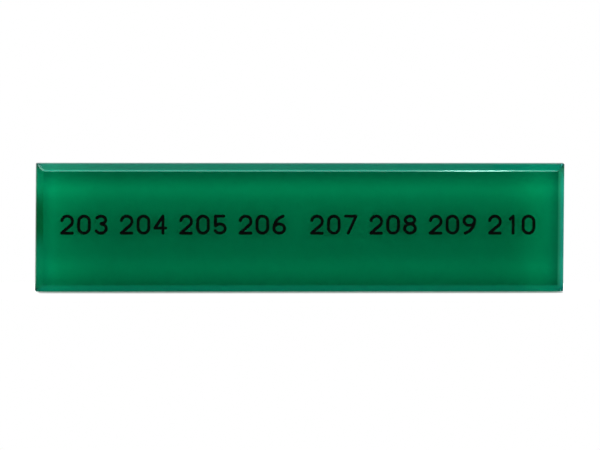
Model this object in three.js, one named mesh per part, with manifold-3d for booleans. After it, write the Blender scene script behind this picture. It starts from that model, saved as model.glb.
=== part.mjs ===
// Mailbox name plate: a bevelled slab of clear green acrylic, engraved with a line of numbers
// that are filled with black paint, on double-sided foam tape cut a little smaller than the slab.
//
// Millimetres, +Z up. The plate is upright, as on a mailbox door: its length lies along X and
// its face looks along -Y. The origin is the centre of the adhesive face that meets the door.
//
// Each piece is drawn flat, as on a bench: x along the plate, y up it, z from the door to the face.
// One turned group then stands the whole plate upright.

import * as THREE from "three";
import { mergeVertices } from "three/addons/utils/BufferGeometryUtils.js";
import Module from "manifold-3d";

const wasm = await Module();
wasm.setup();

// Acrylic slab
const plateLength = 99;
const plateHeight = 24;
const plateThickness = 3;
const bevelWidth = 1.25; // measured across the face
const bevelDepth = 1.25; // measured back from the face

// Double-sided foam tape
const tapeMargin = 0.5; // bare acrylic left round the tape
const tapeCornerRadius = 0.3;
const foamThickness = 0.8;
const filmThickness = 0.1;

// Line of numbers
const numberGroups = [
  ["203", "204", "205", "206"],
  ["207", "208", "209", "210"],
];
const digitHeight = 3.75; // over the stroke
const digitWidth = 2.56; // over the stroke
const strokeWidth = 0.56;
const digitSpacing = 0.6; // clear space inside a number
const groupGapRatio = 2; // space between the groups, against that between two numbers
const leftMargin = 4.45; // plate end to the first digit
const rightMargin = 5.5; // last digit to the plate end
const lineRise = 0.65; // middle of the line above the middle of the plate

// Shape of a digit, as shares of its centre line's height and width
const lowerBowlShare = 0.27; // half height of the lower bowl
const waistStep = 0.06; // the bowls of an 8 or a 3 stand this far apart, centre line to centre line
const upperBowlShare = 0.44; // half width of the upper bowl of an 8 or a 3
const flagShare = 0.28; // reach of the flag of a 1
const crossbarShare = 0.3; // height of the bar of a 4
const uprightShare = 0.74; // place of the upright of a 4
const footShare = 0.28; // foot of the slope of a 7
const stemReachShare = 0.86; // reach of the stem of a 6 and of the top bar of a 5

// Engraving and paint
const grooveDepth = 0.4;
const paintRecess = 0.05; // paint surface below the face
const paintClearance = 0.02; // between paint and groove wall, on the drawing only

// Facets
const bowlStep = Math.PI / 10; // angle between points on a bowl
const roundStep = Math.PI / 6; // angle between points on a round stroke end
const roundedTurn = Math.PI / 4; // a stroke that turns further than this gets a round corner
const cornerSteps = 4;

// Levels above the door
const foamLevel = filmThickness;
const frontFilmLevel = foamLevel + foamThickness;
const plateLevel = frontFilmLevel + filmThickness;
const faceLevel = plateLevel + plateThickness;
const grooveLevel = faceLevel - grooveDepth;

const acrylicMaterial = new THREE.MeshStandardMaterial({ color: 0x016040, roughness: 0.05, metalness: 0 });
const paintMaterial = new THREE.MeshStandardMaterial({ color: 0x060807, roughness: 0.45, metalness: 0 });
const foamMaterial = new THREE.MeshStandardMaterial({ color: 0xf1f1ec, roughness: 0.9, metalness: 0 });
const filmMaterial = new THREE.MeshStandardMaterial({ color: 0xf7f7f4, roughness: 0.35, metalness: 0 });

// Closed geometry to solid and back
function toSolid(geometry) {
  const bare = geometry.clone();
  bare.deleteAttribute("normal");
  bare.deleteAttribute("uv");
  const merged = mergeVertices(bare);
  const vertProperties = new Float32Array(merged.attributes.position.array);
  const triVerts = new Uint32Array(merged.index.array);
  return new wasm.Manifold(new wasm.Mesh({ numProp: 3, vertProperties, triVerts }));
}

function toGeometry(solid) {
  const mesh = solid.getMesh();
  const geometry = new THREE.BufferGeometry();
  geometry.setAttribute("position", new THREE.BufferAttribute(mesh.vertProperties, 3));
  geometry.setIndex(new THREE.BufferAttribute(mesh.triVerts, 1));
  geometry.computeVertexNormals();
  return geometry;
}

// Outline of a stroke of the pen: the edge on the left of a closed walk along its centre line.
// An open stroke is walked there and back, so its two ends are turns of half a circle.
function leftEdge(walk, radius) {
  const edge = [];
  const count = walk.length;
  for (let i = 0; i < count; i++) {
    const here = walk[i];
    const arriving = here.clone().sub(walk[(i + count - 1) % count]).normalize();
    const leaving = walk[(i + 1) % count].clone().sub(here).normalize();
    const turn = Math.atan2(arriving.cross(leaving), arriving.dot(leaving));
    const halfTurn = Math.abs(Math.abs(turn) - Math.PI) < 1e-6;
    if (turn < -roundedTurn || halfTurn) {
      const from = Math.atan2(arriving.x, -arriving.y);
      const to = from - (halfTurn ? Math.PI : -turn);
      edge.push(...roundPoints(here, radius, from, to));
    } else {
      const normals = new THREE.Vector2(-arriving.y - leaving.y, arriving.x + leaving.x);
      const reach = radius / (1 + arriving.dot(leaving));
      edge.push(here.clone().addScaledVector(normals, reach));
    }
  }
  return edge;
}

// Points clockwise round a centre, at the two end angles and at each whole step between them
function roundPoints(centre, radius, from, to) {
  const angles = [from];
  for (let step = Math.ceil(from / roundStep) - 1; step * roundStep > to + roundStep / 4; step--) {
    if (from - step * roundStep > roundStep / 4) {
      angles.push(step * roundStep);
    }
  }
  angles.push(to);
  return angles.map((a) => new THREE.Vector2(Math.cos(a), Math.sin(a)).multiplyScalar(radius).add(centre));
}

// Points of a centre line: the ends of each straight, and a point at each step of each bowl
function linePoints(stroke) {
  const points = stroke.curves.flatMap((curve) => {
    const sweep = Math.abs(curve.aEndAngle - curve.aStartAngle);
    return curve.getPoints(curve.isLineCurve ? 1 : Math.ceil(sweep / bowlStep - 1e-6));
  });
  return points.filter((point, i) => i === 0 || point.distanceTo(points[i - 1]) > 1e-6);
}

function strokeSolid(stroke, radius, depth) {
  const line = linePoints(stroke);
  const closed = line[0].distanceTo(line[line.length - 1]) < 1e-6;
  let shape;
  if (closed) {
    const loop = line.slice(0, -1);
    shape = new THREE.Shape(leftEdge([...loop].reverse(), radius));
    shape.holes.push(new THREE.Path(leftEdge(loop, radius)));
  } else {
    const back = line.slice(1, -1).reverse();
    shape = new THREE.Shape(leftEdge([...line, ...back], radius));
  }
  return toSolid(new THREE.ExtrudeGeometry(shape, { depth, bevelEnabled: false }));
}

// Centre lines of the digits, from the lower left of a cell that is half a stroke inside the digit
const cellWidth = digitWidth - strokeWidth;
const cellHeight = digitHeight - strokeWidth;
const middle = cellWidth / 2;
const lowerBowl = lowerBowlShare * cellHeight;
const waist = 2 * lowerBowl;
const upperBowl = (cellHeight - waist - waistStep) / 2;
const upperHalfWidth = upperBowlShare * cellWidth;
const radians = THREE.MathUtils.degToRad;

function openLine(...corners) {
  const path = new THREE.Path();
  path.moveTo(...corners[0]);
  for (const corner of corners.slice(1)) {
    path.lineTo(...corner);
  }
  return path;
}

function bowlArc(x, y, halfWidth, halfHeight, fromDegrees, toDegrees) {
  const path = new THREE.Path();
  const clockwise = toDegrees < fromDegrees;
  path.absellipse(x, y, halfWidth, halfHeight, radians(fromDegrees), radians(toDegrees), clockwise);
  return path;
}

function zero() {
  const path = new THREE.Path();
  path.absarc(middle, cellHeight - middle, middle, 0, Math.PI);
  path.absarc(middle, middle, middle, Math.PI, 2 * Math.PI);
  path.lineTo(cellWidth, cellHeight - middle);
  return [path];
}

function one() {
  const flag = flagShare * cellWidth;
  const upright = middle + flag / 2;
  return [openLine([upright - flag, cellHeight - flag], [upright, cellHeight], [upright, 0])];
}

// The slope of a 2 leaves the top arc where it is tangent to the line from the lower left corner
function two() {
  const centreHeight = cellHeight - middle;
  const reach = Math.hypot(middle, centreHeight);
  const slope = Math.atan2(centreHeight, middle) - Math.asin(middle / reach);
  const path = new THREE.Path();
  path.absarc(middle, centreHeight, middle, radians(170), slope - Math.PI / 2, true);
  path.lineTo(0, 0);
  path.lineTo(cellWidth, 0);
  return [path];
}

function three() {
  return [
    bowlArc(middle, cellHeight - upperBowl, upperHalfWidth, upperBowl, 150, -90),
    bowlArc(middle, lowerBowl, middle, lowerBowl, 90, -150),
  ];
}

function four() {
  const bar = crossbarShare * cellHeight;
  const upright = uprightShare * cellWidth;
  return [
    openLine([cellWidth, bar], [0, bar], [upright, cellHeight]),
    openLine([upright, cellHeight], [upright, 0]),
  ];
}

function five() {
  const bowl = bowlArc(middle, lowerBowl, middle, lowerBowl, 145, -150);
  const start = bowl.getPoint(0);
  return [
    openLine([stemReachShare * cellWidth, cellHeight], [start.x, cellHeight], [start.x, start.y]),
    bowl,
  ];
}

// The stem of a 6 leaves the side of its bowl upright and reaches the top of the cell
function six() {
  const reach = stemReachShare * cellWidth;
  const rise = cellHeight - lowerBowl;
  const radius = (reach * reach + rise * rise) / (2 * reach);
  const end = 180 - THREE.MathUtils.radToDeg(Math.asin(rise / radius));
  return [
    bowlArc(middle, lowerBowl, middle, lowerBowl, 0, 360),
    bowlArc(radius, lowerBowl, radius, radius, 180, end),
  ];
}

function seven() {
  return [openLine([0, cellHeight], [cellWidth, cellHeight], [footShare * cellWidth, 0])];
}

function eight() {
  return [
    bowlArc(middle, cellHeight - upperBowl, upperHalfWidth, upperBowl, 0, 360),
    bowlArc(middle, lowerBowl, middle, lowerBowl, 0, 360),
  ];
}

const digitStrokes = { 0: zero, 1: one, 2: two, 3: three, 4: four, 5: five, 6: six, 7: seven, 8: eight, 9: six };

// One digit as a solid, with its cell's lower left corner at x, y; a 9 is a 6 turned half round
function digitSolid(digit, x, y, radius, level, depth) {
  const strokes = digitStrokes[digit]().map((stroke) => strokeSolid(stroke, radius, depth));
  let solid = strokes.reduce((joined, stroke) => joined.add(stroke));
  if (digit === "9") {
    solid = solid.rotate([0, 0, 180]).translate([cellWidth, cellHeight, 0]);
  }
  return solid.translate([x, y, level]);
}

// Places of the digits: the space left over on the line is shared out between the numbers
function placedDigits() {
  const numbers = numberGroups.flat();
  const digitCount = numbers.join("").length;
  const innerGaps = digitCount - numbers.length;
  const lineLength = plateLength - leftMargin - rightMargin;
  const spare = lineLength - digitCount * digitWidth - innerGaps * digitSpacing;
  const gapShares = numbers.length - numberGroups.length + (numberGroups.length - 1) * groupGapRatio;
  const numberGap = spare / gapShares;
  const y = lineRise - cellHeight / 2;
  const placed = [];
  let x = -plateLength / 2 + leftMargin + strokeWidth / 2;
  for (const group of numberGroups) {
    for (const number of group) {
      for (const digit of number) {
        placed.push({ digit, x, y });
        x += digitWidth + digitSpacing;
      }
      x += numberGap - digitSpacing;
    }
    x += numberGap * (groupGapRatio - 1);
  }
  return placed;
}

function rectangle(length, height) {
  const shape = new THREE.Shape();
  shape.moveTo(-length / 2, -height / 2);
  shape.lineTo(length / 2, -height / 2);
  shape.lineTo(length / 2, height / 2);
  shape.lineTo(-length / 2, height / 2);
  shape.closePath();
  return shape;
}

// The extrusion is bevelled on both faces, so it starts one bevel behind the plate and is cut off
// flat at the back
function slabSolid() {
  const inset = rectangle(plateLength - 2 * bevelWidth, plateHeight - 2 * bevelWidth);
  const both = new THREE.ExtrudeGeometry(inset, {
    depth: plateThickness,
    bevelThickness: bevelDepth,
    bevelSize: bevelWidth,
    bevelSegments: 1,
  });
  both.translate(0, 0, plateLevel - bevelDepth);
  const waste = new THREE.BoxGeometry(2 * plateLength, 2 * plateHeight, 2 * plateThickness);
  waste.translate(0, 0, plateLevel - plateThickness);
  return toSolid(both).subtract(toSolid(waste));
}

function tapeGeometry(thickness) {
  const right = plateLength / 2 - tapeMargin;
  const top = plateHeight / 2 - tapeMargin;
  const r = tapeCornerRadius;
  const shape = new THREE.Shape();
  shape.absarc(right - r, top - r, r, 0, Math.PI / 2);
  shape.absarc(r - right, top - r, r, Math.PI / 2, Math.PI);
  shape.absarc(r - right, r - top, r, Math.PI, 1.5 * Math.PI);
  shape.absarc(right - r, r - top, r, 1.5 * Math.PI, 2 * Math.PI);
  shape.closePath();
  return new THREE.ExtrudeGeometry(shape, { depth: thickness, bevelEnabled: false, curveSegments: cornerSteps });
}

function piece(name, geometry, material) {
  const mesh = new THREE.Mesh(geometry, material);
  mesh.name = name;
  return mesh;
}

// Name plate, with a groove for every digit
const grooveRadius = strokeWidth / 2;
const paintRadius = grooveRadius - paintClearance;
const paintDepth = grooveDepth - paintRecess;
const cutterDepth = 2 * grooveDepth;
const flat = new THREE.Group();
let slab = slabSolid();
placedDigits().forEach(({ digit, x, y }, index) => {
  slab = slab.subtract(digitSolid(digit, x, y, grooveRadius, grooveLevel, cutterDepth));
  const paint = digitSolid(digit, x, y, paintRadius, grooveLevel, paintDepth);
  const place = String(index + 1).padStart(2, "0");
  flat.add(piece(`paint_digit_${place}`, toGeometry(paint), paintMaterial));
});
flat.add(piece("name_plate", toGeometry(slab), acrylicMaterial));

// Foam tape: a foam core between two adhesive films
const frontFilm = piece("adhesive_film_front", tapeGeometry(filmThickness), filmMaterial);
frontFilm.position.z = frontFilmLevel;
const foamCore = piece("foam_core", tapeGeometry(foamThickness), foamMaterial);
foamCore.position.z = foamLevel;
const rearFilm = piece("adhesive_film_rear", tapeGeometry(filmThickness), filmMaterial);
flat.add(frontFilm, foamCore, rearFilm);

flat.rotation.x = Math.PI / 2;
const namePlate = new THREE.Group();
namePlate.add(flat);

export default namePlate;
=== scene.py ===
"""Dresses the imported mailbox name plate: the polished green acrylic slab, the black paint in its
engraved numbers, the foam tape on its back, and the studio it is photographed in.

Lengths are in metres, +Z up. The face of the plate looks along -Y. Materials take places on the plate
in millimetres.
"""

import math

import bmesh
import bpy
from mathutils import Matrix, Vector, noise


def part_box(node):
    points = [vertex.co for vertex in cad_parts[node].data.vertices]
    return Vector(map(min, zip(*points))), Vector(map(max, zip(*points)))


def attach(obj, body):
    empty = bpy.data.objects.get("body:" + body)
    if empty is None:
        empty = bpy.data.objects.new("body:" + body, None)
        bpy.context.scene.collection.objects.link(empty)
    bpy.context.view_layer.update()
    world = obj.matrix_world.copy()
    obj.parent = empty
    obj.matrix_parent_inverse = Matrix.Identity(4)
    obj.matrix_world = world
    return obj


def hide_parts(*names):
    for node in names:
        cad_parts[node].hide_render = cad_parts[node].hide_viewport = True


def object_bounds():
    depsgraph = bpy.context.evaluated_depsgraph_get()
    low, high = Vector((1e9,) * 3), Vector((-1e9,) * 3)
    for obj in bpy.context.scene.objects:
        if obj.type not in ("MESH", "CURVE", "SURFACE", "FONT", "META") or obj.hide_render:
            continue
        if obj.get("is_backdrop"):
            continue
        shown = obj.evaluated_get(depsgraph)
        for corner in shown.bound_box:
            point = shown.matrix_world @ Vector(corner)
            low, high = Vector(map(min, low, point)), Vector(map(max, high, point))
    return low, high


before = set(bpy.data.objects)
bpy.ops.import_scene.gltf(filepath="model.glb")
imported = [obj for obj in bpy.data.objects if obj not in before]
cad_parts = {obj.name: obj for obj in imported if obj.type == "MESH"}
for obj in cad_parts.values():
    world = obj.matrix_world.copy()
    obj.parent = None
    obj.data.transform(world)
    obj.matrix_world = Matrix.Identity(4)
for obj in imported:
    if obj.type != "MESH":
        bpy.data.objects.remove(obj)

bl_info = {
    "name": "Mailbox Name Plate",
    "version": (1, 0, 0),
    "blender": (4, 5, 0),
    "location": "View3D > Sidebar > Name Plate",
    "description": "Builds the finish of an engraved acrylic mailbox name plate",
    "category": "Add Mesh",
}

MM = 0.001
# Two corners this near each other are one, and a corner this near a plane lies on it.
TOUCHING = 0.0005 * MM
FLAT_ANGLE = math.radians(1.0)
SHARP_ANGLE = math.radians(20.0)
WHITE = (1.0, 1.0, 1.0, 1.0)


def reach_along_x(node, chosen):
    """How far the chosen corners of a CAD node reach to the right."""
    corners = [vert.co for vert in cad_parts[node].data.vertices]
    return max(corner.x for corner in corners if chosen(corner))


CAD_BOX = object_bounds()
SLAB_LOW, SLAB_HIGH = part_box("name_plate")
SLAB_THICKNESS = SLAB_HIGH.y - SLAB_LOW.y
BEVEL = SLAB_HIGH.x - reach_along_x("name_plate", lambda corner: corner.y < SLAB_LOW.y + TOUCHING)
DIGIT_NODES = sorted(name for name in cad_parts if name.startswith("paint_digit_"))


class AcrylicSettings(bpy.types.PropertyGroup):
    arris_cut: bpy.props.FloatProperty(
        name="Arris cut",
        description="How far polishing takes back each outer edge of the slab, to a narrow flat",
        default=0.16 * MM,
        unit="LENGTH",
    )
    bond: bpy.props.FloatProperty(
        name="Bond",
        description="How far the back of the slab is let into the tape, so no air shows between",
        default=0.02 * MM,
        unit="LENGTH",
    )
    dye: bpy.props.FloatVectorProperty(
        name="Dye",
        description="What is left of white light that has crossed the slab once",
        default=(0.03, 0.75, 0.50),
        subtype="COLOR",
    )
    refraction: bpy.props.FloatProperty(
        name="Refraction",
        description="Index of refraction of acrylic",
        default=1.49,
    )
    polish: bpy.props.FloatProperty(
        name="Polish",
        description="Roughness of the polished faces",
        default=0.02,
    )
    dulled: bpy.props.FloatProperty(
        name="Dulled",
        description="Roughness that the polishing wheel leaves on the arrises",
        default=0.09,
    )


class PaintSettings(bpy.types.PropertyGroup):
    color: bpy.props.FloatVectorProperty(
        name="Colour",
        description="Black engraving paint",
        default=(0.0008, 0.0011, 0.0009),
        subtype="COLOR",
    )
    bond: bpy.props.FloatProperty(
        name="Bond",
        description="How far the paint is let into the walls of its groove, so no air shows between",
        default=0.03 * MM,
        unit="LENGTH",
    )


class TapeSettings(bpy.types.PropertyGroup):
    foam_color: bpy.props.FloatVectorProperty(
        name="Foam",
        description="White closed-cell foam",
        default=(0.80, 0.80, 0.77),
        subtype="COLOR",
    )
    foam_step: bpy.props.FloatProperty(
        name="Foam step",
        description="Length of a facet on the cut side of the foam",
        default=0.3 * MM,
        unit="LENGTH",
    )
    foam_bulge: bpy.props.FloatProperty(
        name="Foam bulge",
        description="How far the pressed foam swells out between its films",
        default=0.08 * MM,
        unit="LENGTH",
    )
    foam_grain: bpy.props.FloatProperty(
        name="Foam grain",
        description="How far the opened cells stand in or out on the cut side",
        default=0.04 * MM,
        unit="LENGTH",
    )
    film_color: bpy.props.FloatVectorProperty(
        name="Adhesive",
        description="Adhesive film over the white foam",
        default=(0.84, 0.84, 0.81),
        subtype="COLOR",
    )


class StudioSettings(bpy.types.PropertyGroup):
    azimuth: bpy.props.FloatProperty(
        name="Azimuth",
        description="Angle of the camera round the plate, from square on",
        default=math.radians(-5.0),
        subtype="ANGLE",
    )
    elevation: bpy.props.FloatProperty(
        name="Elevation",
        description="Angle of the camera above the plate",
        default=math.radians(5.5),
        subtype="ANGLE",
    )
    lens: bpy.props.FloatProperty(
        name="Lens",
        description="Focal length of the camera, in millimetres",
        default=1000.0,
    )
    frame_width: bpy.props.FloatProperty(
        name="Frame width",
        description="Width that the photograph takes in at the plate",
        default=112.12 * MM,
        unit="LENGTH",
    )
    frame_rise: bpy.props.FloatProperty(
        name="Frame rise",
        description="Height of the middle of the photograph above the middle of the plate",
        default=0.4 * MM,
        unit="LENGTH",
    )
    floor_margin: bpy.props.FloatProperty(
        name="Floor margin",
        description="How far the floor reaches past the plate on each side",
        default=12.0 * MM,
        unit="LENGTH",
    )
    glint_color: bpy.props.FloatVectorProperty(
        name="Glint colour",
        description="Light of the lamps that glint on the upper arris and at the left mitre",
        default=(0.6, 1.0, 0.88),
        subtype="COLOR",
    )


def finish(piece):
    """Links a finished piece to the scene and lets it ride on the plate."""
    bpy.context.scene.collection.objects.link(piece)
    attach(piece, "root")


def node_copy(node):
    """A welded copy of a CAD node as a bmesh."""
    bm = bmesh.new()
    bm.from_mesh(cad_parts[node].data)
    bmesh.ops.remove_doubles(bm, verts=bm.verts, dist=TOUCHING)
    return bm


def to_object(bm, name, material):
    mesh = bpy.data.meshes.new(name)
    bm.to_mesh(mesh)
    bm.free()
    mesh.materials.append(material)
    return bpy.data.objects.new(name, mesh)


class Wire:
    """A value in a material, which takes part in Python sums."""

    def __init__(self, board, socket):
        self.board = board
        self.socket = socket

    def _math(self, operation, first, second):
        return self.board.add("ShaderNodeMath", {"operation": operation}, {0: first, 1: second})

    def __add__(self, other):
        return self._math("ADD", self, other)

    def __radd__(self, other):
        return self._math("ADD", other, self)

    def __sub__(self, other):
        return self._math("SUBTRACT", self, other)

    def __rsub__(self, other):
        return self._math("SUBTRACT", other, self)

    def __mul__(self, other):
        return self._math("MULTIPLY", self, other)

    def __rmul__(self, other):
        return self._math("MULTIPLY", other, self)

    def __truediv__(self, other):
        return self._math("DIVIDE", self, other)

    def __rpow__(self, other):
        return self._math("POWER", other, self)

    def __neg__(self):
        return self._math("MULTIPLY", self, -1.0)

    def __abs__(self):
        return self._math("ABSOLUTE", self, 0.0)

    def near(self, middle, width):
        """1 at the middle, falling off smoothly over the width."""
        away = (self - middle) / width
        return math.e ** -(away * away)

    def darker(self, loss, width, middle=0.0):
        """1 far from the middle, and less by the loss at the middle."""
        return 1.0 - loss * self.near(middle, width)

    def above(self, low, high):
        """0 below the low value and 1 above the high one."""
        return self.board.add(
            "ShaderNodeMapRange",
            {"interpolation_type": "SMOOTHSTEP"},
            {"Value": self, "From Min": low, "From Max": high},
        )


class Board:
    """A node tree being wired up."""

    def __init__(self, tree):
        self.tree = tree
        tree.nodes.clear()

    def add(self, kind, settings=None, inputs=None, output=0):
        """Adds a node, and gives one of its outputs unless it has none."""
        node = self.tree.nodes.new(kind)
        for key, value in (settings or {}).items():
            setattr(node, key, value)
        for key, value in (inputs or {}).items():
            if isinstance(value, Wire):
                self.tree.links.new(value.socket, node.inputs[key])
            else:
                node.inputs[key].default_value = value
        return Wire(self, node.outputs[output]) if node.outputs else None

    def split(self, vector, scale=1.0):
        """The three parts of a vector, as wires."""
        kind = "ShaderNodeSeparateXYZ"
        return [self.add(kind, {}, {"Vector": vector}, output=i) * scale for i in range(3)]

    def place(self):
        """The place on the piece, in metres."""
        return self.add("ShaderNodeTexCoord", output="Object")

    def ray(self, kind):
        """1 for light rays of this kind and 0 for the others."""
        return self.add("ShaderNodeLightPath", output=kind)

    def grain(self, scale, detail):
        """Even noise over a piece, with this many swells to a metre."""
        inputs = {"Vector": self.place(), "Scale": scale, "Detail": detail}
        return self.add("ShaderNodeTexNoise", {}, inputs)

    def relief(self, height, strength, depth):
        """The normal of a surface that is raised by a height times a depth."""
        inputs = {"Height": height, "Strength": strength, "Distance": depth}
        return self.add("ShaderNodeBump", {}, inputs)

    def color(self, red, green, blue):
        parts = {"Red": red, "Green": green, "Blue": blue}
        return self.add("ShaderNodeCombineColor", {}, parts)

    def mix_colors(self, share, low, high):
        """The low colour at a share of 0 and the high one at 1."""
        factor, first, second, result = 0, 6, 7, 2
        inputs = {factor: share, first: (*low, 1.0), second: (*high, 1.0)}
        return self.add("ShaderNodeMix", {"data_type": "RGBA"}, inputs, output=result)

    def surface(self, inputs, volume=None):
        """Ends a material in one surface, and in a volume if it is clear."""
        ends = {"Surface": self.add("ShaderNodeBsdfPrincipled", {}, inputs)}
        if volume:
            ends["Volume"] = volume
        self.add("ShaderNodeOutputMaterial", {}, ends)


def new_material(name):
    material = bpy.data.materials.new(name)
    material.use_nodes = True
    return material, Board(material.node_tree)


def blend(share, low, high):
    return low + share * (high - low)


class FacePlace:
    """Where a point lies on the plate, in millimetres.

    Left, right, bottom and top are counted inwards from the sides of the flat face, and depth back from it.
    """

    def __init__(self, board):
        self.x, y, self.z = board.split(board.place(), 1.0 / MM)
        reach_x = (SLAB_HIGH.x - BEVEL) / MM
        reach_z = (SLAB_HIGH.z - BEVEL) / MM
        self.left = self.x + reach_x
        self.right = reach_x - self.x
        self.bottom = self.z + reach_z
        self.top = reach_z - self.z
        self.depth = y - SLAB_LOW.y / MM


class EdgePlace(FacePlace):
    """Where a point lies on the bevels and walls of the plate.

    The mitre is 0 where two sides meet, more than 0 on the long sides and less on the ends.
    """

    def __init__(self, board):
        super().__init__(board)
        bevel = BEVEL / MM
        self.off_face = self.depth.above(0.02, 0.12)
        self.on_wall = self.depth.above(bevel - 0.05, bevel + 0.35)
        self.upper = self.z.above(-0.05, 0.05)
        self.righter = self.x.above(-0.05, 0.05)
        self.mitre = abs(self.z) - abs(self.x) + (SLAB_HIGH.x - SLAB_HIGH.z) / MM
        self.rail = self.mitre.above(-0.1, 0.1)

    def by_side(self, left, right, bottom, top):
        """A value for each side of the plate."""
        ends = blend(self.righter, left, right)
        rails = blend(self.upper, bottom, top)
        return blend(self.rail, ends, rails)

    def by_corner(self, lower_left, upper_left, right):
        """A value for each corner of the plate, where the two at the right share theirs."""
        return blend(self.righter, blend(self.upper, lower_left, upper_left), right)

    def in_corner(self):
        """0 away from the corners, rising to 1 close to each."""
        start, full = 1.1, 0.3
        along = abs(self.x).above(SLAB_HIGH.x / MM - start, SLAB_HIGH.x / MM - full)
        return along * abs(self.z).above(SLAB_HIGH.z / MM - start, SLAB_HIGH.z / MM - full)


def painted_acrylic_shade(place):
    """Painted shade in the colour of the slab: the share of red and green, and of blue, that it keeps.

    The painted shade darkens it beside the arrises, at the corners, along the bottom bevel and in a patch
    of the left bevel.
    """
    # Painted shade along the inner side of each arris of the face.
    top_loss = 0.64 - 0.07 * place.left.near(1.5, 3.0) - 0.15 * place.right.near(0.0, 20.0)
    face = place.left.darker(loss=0.12, width=1.1) * place.right.darker(loss=0.52, width=1.2)
    face = face * place.bottom.darker(loss=0.2, width=1.0) * place.top.darker(loss=top_loss, width=2.0)
    # Painted shade at the corners of the bevels and walls.
    bevel_corners = place.by_corner(lower_left=0.25, upper_left=0.8, right=0.95)
    wall_corners = place.by_corner(lower_left=0.25, upper_left=0.65, right=0.95)
    corners = 1.0 - place.in_corner() * blend(place.on_wall, bevel_corners, wall_corners)
    # Painted shade in a patch of the left bevel and at its upper end.
    patch = place.z.above(-4.5, 0.0) * (1.0 - place.z.above(2.5, 10.0))
    upper_left = 0.25 * place.top.near(-0.5, 2.0)
    bottom = place.bottom.darker(loss=0.14, width=0.22, middle=-0.12)

    def painted_shade_of(left, patch_loss):
        left = left - patch_loss * patch - upper_left
        edges = place.by_side(left=left, right=1.0, bottom=bottom, top=0.9)
        return blend(place.off_face, face, corners * edges)

    return painted_shade_of(left=0.95, patch_loss=0.62), painted_shade_of(left=0.9, patch_loss=0.7)


def painted_edge_glow(place):
    """Painted light: a green and a blue glow on the bevels and walls, and a painted highlight line along
    the upper arris.
    """
    bevel_end = place.top.above(-0.5, 2.5)
    right = 0.09 * (-place.right).above(0.0, 0.9) * blend(place.on_wall, bevel_end, 1.0)
    # A painted highlight along the upper arris.
    line = place.top.near(0.0, 0.15) * place.left.above(-0.3, 0.3) * place.right.above(0.0, 0.6)

    # Painted glow for each side, with the painted arris highlight.
    def glow(bottom, top, of_line):
        edges = place.by_side(left=0.0, right=right, bottom=bottom, top=top)
        return place.off_face * edges + of_line * line

    return glow(bottom=0.035, top=0.03, of_line=0.2), glow(bottom=0.03, top=0.04, of_line=0.15)


def polished_acrylic(settings):
    """Clear dyed acrylic whose colour carries painted shade, whose bevels and walls give off a painted glow
    with a painted highlight along the upper arris, and whose arrises are duller than its faces.
    """
    material, board = new_material("polished_green_acrylic")
    place = EdgePlace(board)
    # The slab's colour carries painted shade by place.
    clear, painted_shade_blue = painted_acrylic_shade(place)
    painted_glow_green, painted_glow_blue = painted_edge_glow(place)
    arris = (place.top.near(0.0, 0.3) + place.off_face * place.mitre.near(0.0, 0.3)).above(0.4, 0.65)
    smears = board.grain(scale=60.0, detail=3.0)
    waves = board.grain(scale=45.0, detail=0.0)
    polish = settings.polish * (0.4 + 1.2 * smears)
    absorbed = [-math.log(share) / SLAB_THICKNESS for share in settings.dye]
    density = max(absorbed)
    dye = (*[1.0 - part / density for part in absorbed], 1.0)
    inputs = {
        # The base colour carries the painted shade of the slab.
        "Base Color": board.color(clear, clear, painted_shade_blue),
        "Roughness": blend(arris, polish, settings.dulled),
        "IOR": settings.refraction,
        "Transmission Weight": 1.0,
        "Normal": board.relief(waves * (1.0 - arris), strength=0.02, depth=0.01 * MM),
        # The emission is painted light: the glow of the bevels and walls, and the arris highlight.
        "Emission Color": board.color(0.0, painted_glow_green, painted_glow_blue),
        "Emission Strength": 1.0,
    }
    board.surface(inputs, board.add("ShaderNodeVolumeAbsorption", {}, {"Color": dye, "Density": density}))
    return material


def engraving_paint(settings):
    """Near-black paint that dried with a fine grain and paler pools."""
    material, board = new_material("black_engraving_paint")
    grain = board.grain(scale=4000.0, detail=4.0)
    pools = board.grain(scale=700.0, detail=2.0)
    paler = [2.5 * part for part in settings.color]
    board.surface({
        "Base Color": board.mix_colors(pools, settings.color, paler),
        "Roughness": 0.45 + 0.25 * grain,
        "Specular IOR Level": 0.04,
        "Normal": board.relief(0.3 * grain + pools, strength=0.3, depth=0.02 * MM),
    })
    return material


def adhesive_film(settings, name, under_slab):
    """Adhesive over white foam. Under the slab its colour carries painted light: it is painted palest near
    the bevels, standing in for the light they gather onto it.
    """
    material, board = new_material(name)
    mottle = board.grain(scale=350.0, detail=4.0)
    shade = 0.93 + 0.07 * mottle
    if under_slab:
        place = FacePlace(board)
        at_left = 0.24 * place.left.near(3.5, 6.0) + 0.1 * place.left.near(2.0, 1.0)
        at_right = 0.23 * place.right.near(4.0, 3.0)
        at_bottom = 0.38 * place.bottom.near(2.9, 2.3)
        at_top = 0.28 * place.top.near(3.7, 1.7)
        # Painted light near the sides: the film has its own colour where the painted light is this many
        # times that in the middle.
        full_light = 1.58
        shade = shade * (1.0 + at_left + at_right) * (1.0 + at_bottom + at_top) / full_light
    board.surface({
        "Base Color": board.color(*[part * shade for part in settings.film_color]),
        "Roughness": 0.3 + 0.2 * mottle,
        "Specular IOR Level": 0.02 if under_slab else 0.5,
        "Normal": board.relief(mottle, strength=0.2, depth=0.05 * MM),
    })
    return material


def closed_cell_foam(settings):
    """White foam, with painted shade in the hollow of each cell, where its relief sinks."""
    material, board = new_material("closed_cell_foam")
    cells = board.add("ShaderNodeTexVoronoi", {}, {"Vector": board.place(), "Scale": 6000.0})
    # Painted shade for the hollows of the cells.
    painted_cell_shade = [0.8 * part for part in settings.foam_color]
    board.surface({
        "Base Color": board.mix_colors(cells, painted_cell_shade, settings.foam_color),
        "Roughness": 0.85 + 0.1 * cells,
        "Normal": board.relief(cells, strength=0.6, depth=0.1 * MM),
    })
    return material


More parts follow.
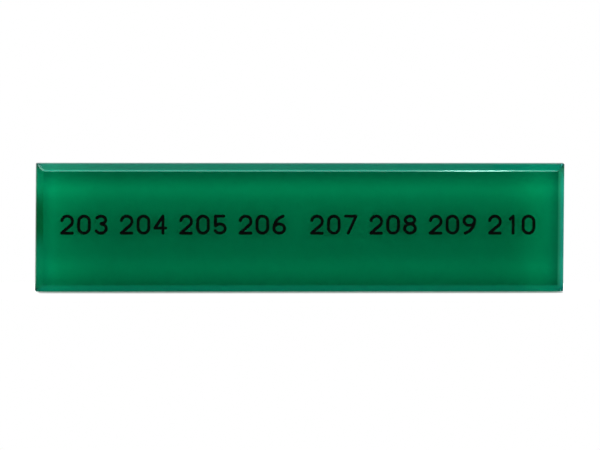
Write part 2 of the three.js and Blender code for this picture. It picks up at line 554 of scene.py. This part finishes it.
class NAMEPLATE_OT_slab(bpy.types.Operator):
    """Polish the acrylic slab and take a narrow flat off its outer edges"""

    bl_idname = "nameplate.slab"
    bl_label = "Acrylic Slab"

    def execute(self, context):
        settings = context.scene.nameplate_acrylic
        bm = node_copy("name_plate")
        bmesh.ops.dissolve_limit(
            bm, angle_limit=FLAT_ANGLE, verts=bm.verts, edges=bm.edges, use_dissolve_boundaries=False
        )
        for vert in bm.verts:
            if vert.co.y > SLAB_HIGH.y - TOUCHING:
                vert.co.y += settings.bond
        bmesh.ops.bevel(
            bm,
            geom=[edge for edge in bm.edges if self.is_outer(edge)],
            offset=settings.arris_cut,
            segments=1,
            profile=0.5,
            affect="EDGES",
            material=-1,
            clamp_overlap=True,
        )
        piece = to_object(bm, "acrylic_slab", polished_acrylic(settings))
        finish(piece)
        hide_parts("name_plate")
        return {"FINISHED"}

    def is_outer(self, edge):
        """A sharp edge that isn't in the engraving."""
        engraved = any(self.is_inside_face(vert.co) for vert in edge.verts)
        return not engraved and edge.calc_face_angle(0.0) > SHARP_ANGLE

    def is_inside_face(self, corner):
        in_length = abs(corner.x) < SLAB_HIGH.x - BEVEL - TOUCHING
        return in_length and abs(corner.z) < SLAB_HIGH.z - BEVEL - TOUCHING


class NAMEPLATE_OT_paint(bpy.types.Operator):
    """Fill the engraved digits with paint"""

    bl_idname = "nameplate.paint"
    bl_label = "Engraving Paint"

    def execute(self, context):
        settings = context.scene.nameplate_paint
        material = engraving_paint(settings)
        for node in DIGIT_NODES:
            bm = node_copy(node)
            bm.normal_update()
            for vert in bm.verts:
                vert.co += vert.normal * settings.bond
            piece = to_object(bm, node.replace("paint_", "painted_"), material)
            finish(piece)
            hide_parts(node)
        return {"FINISHED"}


class NAMEPLATE_OT_tape(bpy.types.Operator):
    """Finish the foam tape on the back"""

    bl_idname = "nameplate.tape"
    bl_label = "Foam Tape"

    def execute(self, context):
        settings = context.scene.nameplate_tape
        self.add_foam(settings)
        # The film under the slab carries painted light.
        painted_light_film = adhesive_film(settings, "adhesive_under_acrylic", under_slab=True)
        film = adhesive_film(settings, "adhesive_film", under_slab=False)
        for node, material in (("adhesive_film_front", painted_light_film), ("adhesive_film_rear", film)):
            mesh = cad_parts[node].data
            mesh.materials.clear()
            mesh.materials.append(material)
        return {"FINISHED"}

    def add_foam(self, settings):
        """Cut foam wrapped round the outline, bulging between the films, with both faces filled."""
        low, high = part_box("foam_core")
        radius = high.x - reach_along_x("foam_core", lambda corner: corner.z > high.z - TOUCHING)
        reach = Vector((high.x - radius, high.z - radius))
        length = 4.0 * (reach.x + reach.y) + 2.0 * math.pi * radius
        steps = round(length / settings.foam_step)
        rows = 6
        cells_per_mm = 3.0
        bm = bmesh.new()
        bmesh.ops.create_grid(bm, x_segments=steps, y_segments=rows, size=1.0)
        for vert in bm.verts:
            share = (vert.co.x + 1.0) / 2.0
            level = vert.co.y
            point, outward = self.round_outline(share * length, reach, radius)
            cells = noise.noise(Vector((point.x, level * MM, point.y)) * cells_per_mm / MM)
            swell = settings.foam_bulge * (1.0 - level * level)
            off_film = min(1.0, 3.0 * (1.0 - abs(level)))
            point = point + outward * (swell + settings.foam_grain * cells * off_film)
            vert.co = (point.x, (low.y + high.y) / 2 + level * (high.y - low.y) / 2, point.y)
        bmesh.ops.remove_doubles(bm, verts=bm.verts, dist=TOUCHING)
        bmesh.ops.holes_fill(bm, edges=[edge for edge in bm.edges if edge.is_boundary], sides=0)
        bmesh.ops.recalc_face_normals(bm, faces=bm.faces)
        for face in bm.faces:
            face.smooth = len(face.verts) == 4
        piece = to_object(bm, "cut_foam", closed_cell_foam(settings))
        finish(piece)
        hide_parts("foam_core")

    def round_outline(self, way, reach, radius):
        """The point that lies this far round the rounded outline, and the direction out of it there."""
        quarter = math.pi / 2 * radius
        for turn, side in enumerate((2 * reach.x, 2 * reach.y, 2 * reach.x, 2 * reach.y)):
            out = Matrix.Rotation(-turn * math.pi / 2, 2) @ Vector((0.0, 1.0))
            along = Vector((out.y, -out.x))
            corner = Vector((
                reach.x * (1 if along.x + out.x > 0 else -1),
                reach.y * (1 if along.y + out.y > 0 else -1),
            ))
            if way <= side:
                return corner - along * (side - way) + out * radius, out
            way -= side
            if way <= quarter:
                angle = way / radius
                lean = out * math.cos(angle) + along * math.sin(angle)
                return corner + lean * radius, lean
            way -= quarter
        return corner + along * radius, along


class NAMEPLATE_OT_studio(bpy.types.Operator):
    """Set up the camera, the floor and the soft light"""

    bl_idname = "nameplate.studio"
    bl_label = "Studio"

    def execute(self, context):
        settings = context.scene.nameplate_studio
        self.add_camera(context.scene, settings)
        self.add_floor(context.scene, settings)
        self.add_lamps(context.scene, settings)
        self.light_world(context.scene)
        context.scene.view_settings.view_transform = "Standard"
        return {"FINISHED"}

    def add_camera(self, scene, settings):
        """A camera aimed at the plate, and rolled so that the plate's length lies level in the picture."""
        data = bpy.data.cameras.new("camera")
        data.lens = settings.lens
        camera = bpy.data.objects.new("camera", data)
        low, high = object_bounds()
        aim = (low + high) / 2 + Vector((0.0, 0.0, settings.frame_rise))
        round_plate = Matrix.Rotation(settings.azimuth, 4, "Z")
        tilt = Matrix.Rotation(math.pi / 2 - settings.elevation, 4, "X")
        slope = math.sin(settings.azimuth) * math.sin(settings.elevation)
        roll = Matrix.Rotation(-math.atan(slope), 4, "Z")
        turn = round_plate @ tilt @ roll
        distance = settings.frame_width * settings.lens / data.sensor_width
        back = turn.to_3x3() @ Vector((0.0, 0.0, distance))
        camera.matrix_world = Matrix.Translation(aim + back) @ turn
        data.clip_end = 10.0
        scene.collection.objects.link(camera)
        scene.camera = camera

    def add_lamps(self, scene, settings):
        """Lamps that show in the polish of the upper bevel, the arris below it and the left mitre."""
        view = Vector((
            math.sin(settings.azimuth) * math.cos(settings.elevation),
            -math.cos(settings.azimuth) * math.cos(settings.elevation),
            math.sin(settings.elevation),
        ))
        face = Vector((0.0, -1.0, 0.0))
        bevel = Vector((0.0, -1.0, 1.0)).normalized()
        left_bevel = Vector((-1.0, -1.0, 0.0)).normalized()
        arris = (face + bevel).normalized()
        mitre = (bevel + left_bevel).normalized()

        def hang(name, facing, place, size, glow, distance=250.0 * MM):
            """Hangs a lamp that shows at this place along the edge, where its surface faces this way."""
            way = 2.0 * facing.dot(view) * facing - view
            edge = Vector((place, SLAB_LOW.y, SLAB_HIGH.z - BEVEL))
            return self.add_lamp(scene, name, edge + way * distance, way, size, glow)

        glint = hang("glint_lamp", arris, place=35.5 * MM, size=(12.0 * MM, 50.0 * MM), glow=15.0)
        hang("strip_lamp", arris, place=0.0, size=(220.0 * MM, 60.0 * MM), glow=1.3)
        size = (5.0 * MM, 5.0 * MM)
        corner = hang("corner_lamp", mitre, place=SLAB_LOW.x, size=size, glow=6.0, distance=60.0 * MM)
        glint.color = corner.color = settings.glint_color
        start = -70.0 * MM
        for end, glow in ((36.0 * MM, 0.1), (14.0 * MM, 0.05), (-6.0 * MM, 0.05), (-26.0 * MM, 0.05)):
            size = (end - start, 120.0 * MM)
            hang("overhead_lamp", bevel, place=(start + end) / 2, size=size, glow=glow)

    def add_lamp(self, scene, name, spot, back, size, glow):
        """An oval lamp that turns its back this way, and that only shows where it is mirrored."""
        data = bpy.data.lights.new(name, "AREA")
        data.shape = "ELLIPSE"
        data.size, data.size_y = size
        data.energy = glow * math.pi * size[0] * size[1]
        lamp = bpy.data.objects.new(name, data)
        turn = back.to_track_quat("Z", "Y").to_matrix().to_4x4()
        lamp.matrix_world = Matrix.Translation(spot) @ turn
        lamp.visible_camera = False
        lamp.visible_diffuse = False
        lamp.visible_transmission = False
        scene.collection.objects.link(lamp)
        return data

    def add_floor(self, scene, settings):
        """A pale floor that glows away from the plate, with a painted shadow zone round its foot, where the
        glow is taken away and the lamps' real shadow shows.
        """
        low, high = CAD_BOX
        middle = (low + high) / 2
        reach = (high - low) / 2 + Vector((1.0, 1.0, 0.0)) * settings.floor_margin
        bm = bmesh.new()
        bmesh.ops.create_grid(bm, x_segments=1, y_segments=1, size=1.0)
        bmesh.ops.scale(bm, verts=bm.verts, vec=(reach.x, reach.y, 1.0))
        bmesh.ops.translate(bm, verts=bm.verts, vec=(middle.x, middle.y, low.z))
        material, board = new_material("pale_floor")
        x, y, _ = board.split(board.place(), 1.0 / MM)
        ahead = low.y / MM - y
        beside = abs(x) - high.x / MM
        behind = y - high.y / MM
        # Painted shadow zone: the glow is taken away by place round the plate's foot, so that the real
        # shadow shows only there.
        shaded = (1.0 - ahead.above(1.3, 4.0)) * (1.0 - beside.above(-0.8, 0.4))
        shaded = shaded * (1.0 - behind.above(0.3, 2.5))
        seen = board.ray("Is Camera Ray")
        # The floor is pale only to the camera, and dark to every other ray: in what the plate mirrors and
        # in the light it bounces.
        grey = blend(seen, 0.06, 0.62)
        board.surface({
            "Base Color": board.color(grey, grey, grey),
            "Roughness": 0.9,
            "Emission Color": WHITE,
            "Emission Strength": 0.75 * seen * (1.0 - shaded),
        })
        floor = to_object(bm, "floor", material)
        scene.collection.objects.link(floor)
        floor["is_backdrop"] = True

    def light_world(self, scene):
        """A white backdrop for the camera, even light on the face, and a dim room in what it mirrors."""
        world = bpy.data.worlds.new("studio")
        world.use_nodes = True
        scene.world = world
        board = Board(world.node_tree)
        x, y, z = board.split(board.add("ShaderNodeTexCoord", output="Generated"))
        ceiling = 0.04 * z.above(0.6, 0.9)
        right_wall = 0.17 * x.above(0.6, 0.9)
        left_wall = 0.012 * (-x).above(0.6, 0.9)
        ground = 0.1 * (-z).above(0.6, 0.9)
        windows = 0.6 * abs(x).above(0.8, 0.95) * z.above(-0.03, 0.03)
        room = ceiling + right_wall + left_wall + ground + windows
        mirrored = board.ray("Is Glossy Ray") * (1.0 - board.ray("Is Transmission Ray"))
        behind = blend(mirrored, y.above(0.0, 0.2), y.above(0.15, 0.4))
        ahead = blend(mirrored, 1.25, room)
        strength = blend(behind, ahead, 1.0 - 0.5 * mirrored)
        light = board.add("ShaderNodeBackground", {}, {"Color": WHITE, "Strength": strength})
        backdrop = board.add("ShaderNodeBackground", {}, {"Color": WHITE, "Strength": 1.0})
        shown = board.add("ShaderNodeMixShader", {}, {0: board.ray("Is Camera Ray"), 1: light, 2: backdrop})
        board.add("ShaderNodeOutputWorld", {}, {"Surface": shown})


class NAMEPLATE_PT_panel(bpy.types.Panel):
    bl_label = "Name Plate"
    bl_idname = "NAMEPLATE_PT_panel"
    bl_space_type = "VIEW_3D"
    bl_region_type = "UI"
    bl_category = "Name Plate"

    def draw(self, context):
        for operator in OPERATORS:
            self.layout.operator(operator.bl_idname)


GROUPS = {
    "nameplate_acrylic": AcrylicSettings,
    "nameplate_paint": PaintSettings,
    "nameplate_tape": TapeSettings,
    "nameplate_studio": StudioSettings,
}
OPERATORS = (NAMEPLATE_OT_slab, NAMEPLATE_OT_paint, NAMEPLATE_OT_tape, NAMEPLATE_OT_studio)


def register():
    for name, group in GROUPS.items():
        bpy.utils.register_class(group)
        setattr(bpy.types.Scene, name, bpy.props.PointerProperty(type=group))
    for operator in OPERATORS:
        bpy.utils.register_class(operator)
    bpy.utils.register_class(NAMEPLATE_PT_panel)


def unregister():
    bpy.utils.unregister_class(NAMEPLATE_PT_panel)
    for operator in reversed(OPERATORS):
        bpy.utils.unregister_class(operator)
    for name, group in GROUPS.items():
        delattr(bpy.types.Scene, name)
        bpy.utils.unregister_class(group)


def main():
    register()
    bpy.ops.nameplate.slab()
    bpy.ops.nameplate.paint()
    bpy.ops.nameplate.tape()
    bpy.ops.nameplate.studio()


if __name__ == "__main__":
    main()
